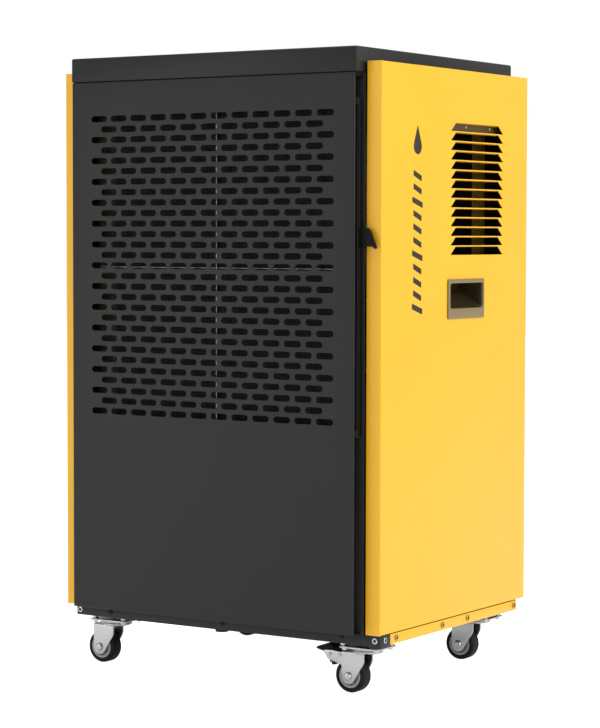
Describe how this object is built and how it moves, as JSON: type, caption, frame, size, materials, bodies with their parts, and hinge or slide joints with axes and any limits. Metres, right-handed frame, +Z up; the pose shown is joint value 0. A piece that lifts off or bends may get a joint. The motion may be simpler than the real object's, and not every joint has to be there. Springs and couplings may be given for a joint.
{
  "type": "commercial dehumidifier",
  "caption": "Wheeled upright dehumidifier cabinet with a slotted front grille, louvred side panels, recessed side handles and swivel casters.",
  "frame": {"origin": "on the floor under the middle of the machine's bounding box", "axes": "+Z up, +X to the right seen from the slotted front, -Y out of the slotted front"},
  "size_m": [0.606, 0.5118, 0.9919],
  "materials": {
    "yellow_paint": "satin powder coat",
    "black_paint": "fine-textured powder coat",
    "black_plastic": "fine-grained moulding",
    "grey_plastic": "moulded nylon",
    "zinc": "bright zinc plate",
    "galvanised": "galvanised sheet",
    "aluminium": "mill finish",
    "copper": "drawn copper tube",
    "tyre_rubber": "moulded rubber",
    "bung_rubber": "moulded rubber",
    "filter_net": "woven nylon net",
    "display_window": "smoked window"
  },
  "bodies": {
    "root": {"base_pan": "black_paint", "drain_plug": "bung_rubber", "corner_bracket": "black_paint", "side_strip_left": "yellow_paint", "side_strip_right": "yellow_paint", "side_panel_left": "yellow_paint", "side_panel_right": "yellow_paint", "handle_cup_left": "black_plastic", "handle_cup_right": "black_plastic", "rear_post_left": "yellow_paint", "rear_post_right": "yellow_paint", "front_panel": "black_paint", "front_frame": "black_paint", "lid": "black_paint", "rear_panel": "black_paint", "drain_spout": "black_plastic", "cable_gland": "black_plastic", "control_fascia": "black_plastic", "display_window": "display_window", "electrical_box": "galvanised", "drip_tray": "galvanised", "evaporator_coil": "aluminium", "condenser_coil": "aluminium", "fan_shroud": "galvanised", "fan_motor": "black_paint", "compressor": "black_paint", "suction_pipe": "copper", "discharge_pipe": "copper", "drain_pipe": "black_plastic", "caster_front_left_plate": "zinc", "caster_front_right_plate": "zinc", "caster_rear_left_plate": "zinc", "caster_rear_right_plate": "zinc"},
    "filter": {"filter_frame": "aluminium", "filter_mesh": "filter_net", "filter_pull_tab": "black_plastic"},
    "fan": {"fan_impeller": "black_plastic"},
    "power_button": {"button_power": "grey_plastic"},
    "mode_button": {"button_mode": "grey_plastic"},
    "down_button": {"button_down": "grey_plastic"},
    "up_button": {"button_up": "grey_plastic"},
    "rocker": {"mains_rocker": "black_plastic"},
    "swivel_front_left": {"caster_front_left_fork": "zinc", "caster_front_left_axle": "zinc"},
    "wheel_front_left": {"caster_front_left_hub": "grey_plastic", "caster_front_left_tyre": "tyre_rubber"},
    "swivel_front_right": {"caster_front_right_fork": "zinc", "caster_front_right_axle": "zinc"},
    "wheel_front_right": {"caster_front_right_hub": "grey_plastic", "caster_front_right_tyre": "tyre_rubber"},
    "pedal_front_right": {"caster_front_right_brake_pedal": "black_plastic"},
    "swivel_rear_left": {"caster_rear_left_fork": "zinc", "caster_rear_left_axle": "zinc"},
    "wheel_rear_left": {"caster_rear_left_hub": "grey_plastic", "caster_rear_left_tyre": "tyre_rubber"},
    "pedal_rear_left": {"caster_rear_left_brake_pedal": "black_plastic"},
    "swivel_rear_right": {"caster_rear_right_fork": "zinc", "caster_rear_right_axle": "zinc"},
    "wheel_rear_right": {"caster_rear_right_hub": "grey_plastic", "caster_rear_right_tyre": "tyre_rubber"}
  },
  "joints": [
    {"name": "filter_slide", "type": "slide", "parent": "root", "child": "filter", "axis": [1, 0, 0], "range_m": [0, 0.5]},
    {"name": "fan_spin", "type": "hinge", "parent": "root", "child": "fan", "pos_m": [0, -0.0411, 0.65015], "axis": [0, 1, 0], "continuous": true},
    {"name": "power_press", "type": "slide", "parent": "root", "child": "power_button", "axis": [0, -1, 0], "range_m": [0, 0.0012], "stiffness_N_per_m": 900, "springref_m": -0.0012},
    {"name": "mode_press", "type": "slide", "parent": "root", "child": "mode_button", "axis": [0, -1, 0], "range_m": [0, 0.0012], "stiffness_N_per_m": 900, "springref_m": -0.0012},
    {"name": "down_press", "type": "slide", "parent": "root", "child": "down_button", "axis": [0, -1, 0], "range_m": [0, 0.0012], "stiffness_N_per_m": 900, "springref_m": -0.0012},
    {"name": "up_press", "type": "slide", "parent": "root", "child": "up_button", "axis": [0, -1, 0], "range_m": [0, 0.0012], "stiffness_N_per_m": 900, "springref_m": -0.0012},
    {"name": "mains_toggle", "type": "hinge", "parent": "root", "child": "rocker", "pos_m": [0.07, 0.2389, 0.4425], "axis": [-1, 0, 0], "range_deg": [0, 16]},
    {"name": "swivel_front_left", "type": "hinge", "parent": "root", "child": "swivel_front_left", "pos_m": [-0.242, -0.1731, 0.069], "axis": [0, 0, 1], "continuous": true},
    {"name": "roll_front_left", "type": "hinge", "parent": "swivel_front_left", "child": "wheel_front_left", "pos_m": [-0.2676, -0.1731, 0.0265], "axis": [0, 1, 0], "continuous": true},
    {"name": "swivel_front_right", "type": "hinge", "parent": "root", "child": "swivel_front_right", "pos_m": [0.242, -0.1731, 0.069], "axis": [0, 0, 1], "continuous": true},
    {"name": "roll_front_right", "type": "hinge", "parent": "swivel_front_right", "child": "wheel_front_right", "pos_m": [0.2164, -0.1731, 0.0265], "axis": [0, 1, 0], "continuous": true},
    {"name": "brake_front_right", "type": "hinge", "parent": "swivel_front_right", "child": "pedal_front_right", "pos_m": [0.18419, -0.1731, 0.0582], "axis": [0, -1, 0], "range_deg": [0, 14]},
    {"name": "swivel_rear_left", "type": "hinge", "parent": "root", "child": "swivel_rear_left", "pos_m": [-0.242, 0.1769, 0.069], "axis": [0, 0, 1], "continuous": true},
    {"name": "roll_rear_left", "type": "hinge", "parent": "swivel_rear_left", "child": "wheel_rear_left", "pos_m": [-0.2164, 0.1769, 0.0265], "axis": [0, 1, 0], "continuous": true},
    {"name": "brake_rear_left", "type": "hinge", "parent": "swivel_rear_left", "child": "pedal_rear_left", "pos_m": [-0.18419, 0.1769, 0.0582], "axis": [0, 1, 0], "range_deg": [0, 14]},
    {"name": "swivel_rear_right", "type": "hinge", "parent": "root", "child": "swivel_rear_right", "pos_m": [0.242, 0.1769, 0.069], "axis": [0, 0, 1], "continuous": true},
    {"name": "roll_rear_right", "type": "hinge", "parent": "swivel_rear_right", "child": "wheel_rear_right", "pos_m": [0.2164, 0.1769, 0.0265], "axis": [0, 1, 0], "continuous": true}
  ]
}
